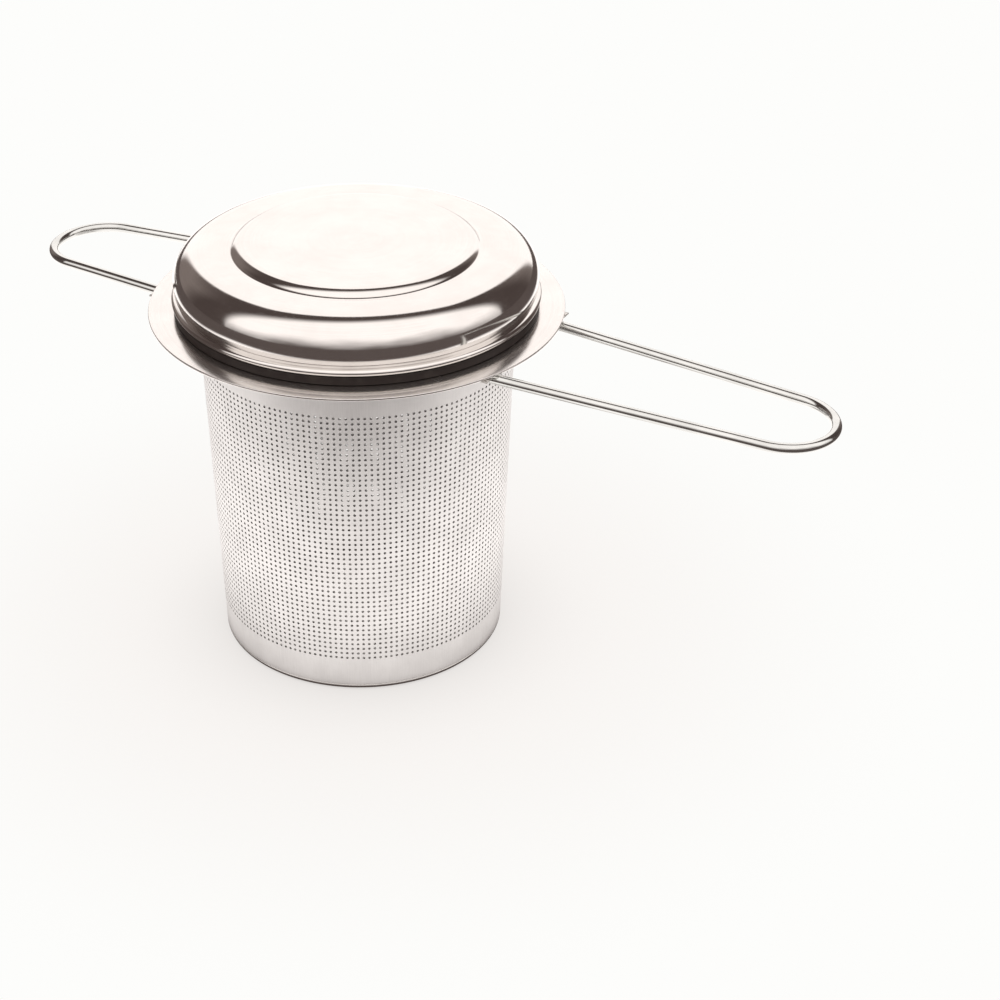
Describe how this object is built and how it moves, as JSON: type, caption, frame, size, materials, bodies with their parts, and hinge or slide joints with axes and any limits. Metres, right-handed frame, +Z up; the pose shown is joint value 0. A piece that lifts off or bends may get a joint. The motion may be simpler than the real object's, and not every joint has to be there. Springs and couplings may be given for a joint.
{
  "type": "tea infuser basket strainer",
  "caption": "Perforated steel basket strainer with a flat rim, a domed lift-off lid and two folding wire handles of unequal length, hung in a cup or pot by its rim.",
  "frame": {"origin": "centre of the underside of the base", "axes": "+Z up along the basket's axis, +X towards the end of the long handle"},
  "size_m": [0.1805, 0.085, 0.0895],
  "materials": {
    "rim_steel": "polished",
    "wall_steel": "satin, perforated",
    "base_steel": "satin",
    "clip_steel": "satin",
    "wire_steel": "polished",
    "lid_steel": "polished",
    "collar_steel": "satin",
    "seal_rubber": "satin silicone"
  },
  "bodies": {
    "basket": {"rim_flange": "rim_steel", "basket_wall": "wall_steel", "basket_base": "base_steel", "long_handle_clip_left": "clip_steel", "long_handle_clip_right": "clip_steel", "short_handle_clip_left": "clip_steel", "short_handle_clip_right": "clip_steel"},
    "long_handle": {"long_handle": "wire_steel"},
    "short_handle": {"short_handle": "wire_steel"},
    "lid": {"lid_shell": "lid_steel", "lid_collar": "collar_steel", "lid_seal": "seal_rubber"}
  },
  "joints": [
    {"name": "long_handle_fold", "type": "hinge", "parent": "basket", "child": "long_handle", "pos_m": [0.0336, 0, 0.07385], "axis": [0, 1, 0], "range_deg": [0, 87]},
    {"name": "short_handle_fold", "type": "hinge", "parent": "basket", "child": "short_handle", "pos_m": [-0.0336, 0, 0.07385], "axis": [0, -1, 0], "range_deg": [0, 87]},
    {"name": "lid_lift", "type": "slide", "parent": "basket", "child": "lid", "axis": [0, 0, 1], "range_m": [0, 0.04]}
  ]
}
